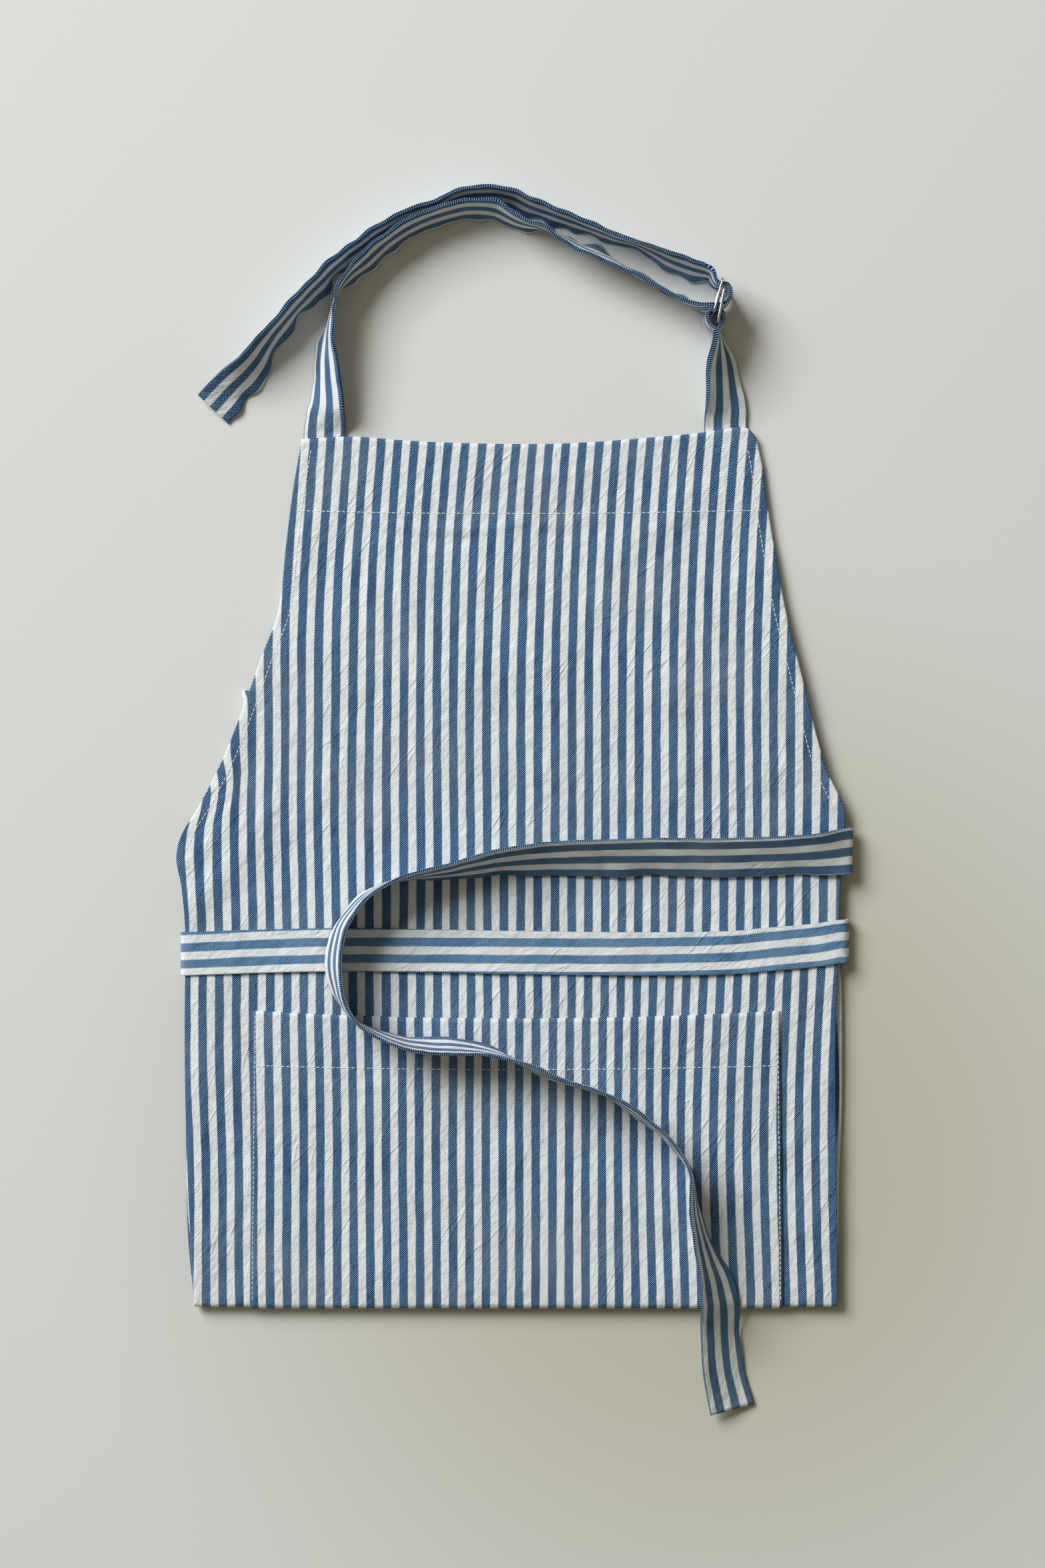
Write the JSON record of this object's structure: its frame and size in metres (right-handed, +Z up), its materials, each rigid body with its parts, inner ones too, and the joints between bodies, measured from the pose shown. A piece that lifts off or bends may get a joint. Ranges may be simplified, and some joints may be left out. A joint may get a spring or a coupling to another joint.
{
  "type": "folded bib apron",
  "caption": "Striped cotton bib apron folded face up, with a waist pocket across its base, a ringed neck strap and ties wound round the bundle.",
  "frame": {"origin": "middle of the footprint, on the surface the bundle lies on", "axes": "+X across the apron to the wearer's left as it lies face up, +Y up the bib towards the neck strap, +Z up from the surface"},
  "size_m": [0.4039, 0.7339, 0.0347],
  "materials": {
    "striped_cotton": "plain weave cotton, blue and white stripes, unglazed",
    "plated_wire": "bright plated wire",
    "white_thread": "spun sewing thread"
  },
  "bodies": {
    "apron_bundle": {"apron_cloth": "striped_cotton", "pocket": "striped_cotton", "neck_strap": "striped_cotton", "ring_tab": "striped_cotton", "left_tie": "striped_cotton", "right_tie": "striped_cotton", "bib_hem_stitching": "white_thread", "left_armhole_stitching": "white_thread", "right_armhole_stitching": "white_thread", "pocket_hem_stitching": "white_thread", "pocket_left_stitching": "white_thread", "pocket_right_stitching": "white_thread", "skirt_hem_stitching": "white_thread"},
    "outer_ring": {"ring_1": "plated_wire"},
    "inner_ring": {"ring_2": "plated_wire"}
  },
  "joints": [
    {"name": "ring_1_swivel", "type": "hinge", "parent": "apron_bundle", "child": "outer_ring", "pos_m": [0.1171, 0.2898, 0], "axis": [0, 0, 1], "range_deg": [-14, 2], "deforming": ["neck_strap"]},
    {"name": "ring_2_swivel", "type": "hinge", "parent": "apron_bundle", "child": "inner_ring", "pos_m": [0.1194, 0.2841, 0], "axis": [0, 0, 1], "range_deg": [-14, 2]}
  ],
  "couplings": [
    {"joint": "ring_2_swivel", "follows": "ring_1_swivel", "ratio": 1}
  ]
}
